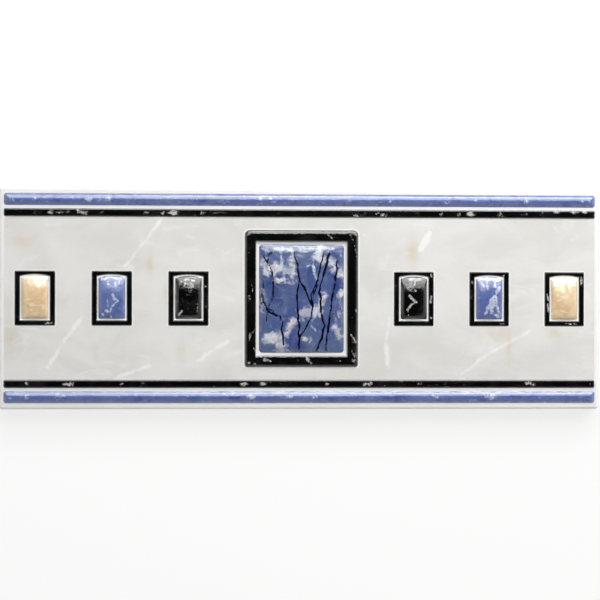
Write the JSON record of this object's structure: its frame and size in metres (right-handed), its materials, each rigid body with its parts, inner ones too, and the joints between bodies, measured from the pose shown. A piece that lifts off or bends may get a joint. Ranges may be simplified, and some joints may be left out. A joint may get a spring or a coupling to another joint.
{
  "type": "border tile",
  "caption": "Glazed ceramic wall border tile with moulded beads and line ridges along its long sides, a framed domed panel in the middle and small framed domed cabochons beside it.",
  "frame": {"origin": "centre of the flat back, in the plane that beds on the wall, where the tile also rests on a floor", "axes": "+Z out of the glazed face, +X along the tile's length, +Y across it, towards the edge that is upper on the wall"},
  "size_m": [0.2, 0.0738, 0.009],
  "materials": {
    "glazed_body": "gloss glaze over a pale bisque body"
  },
  "bodies": {
    "root": {"border_tile": "glazed_body"}
  },
  "joints": []
}
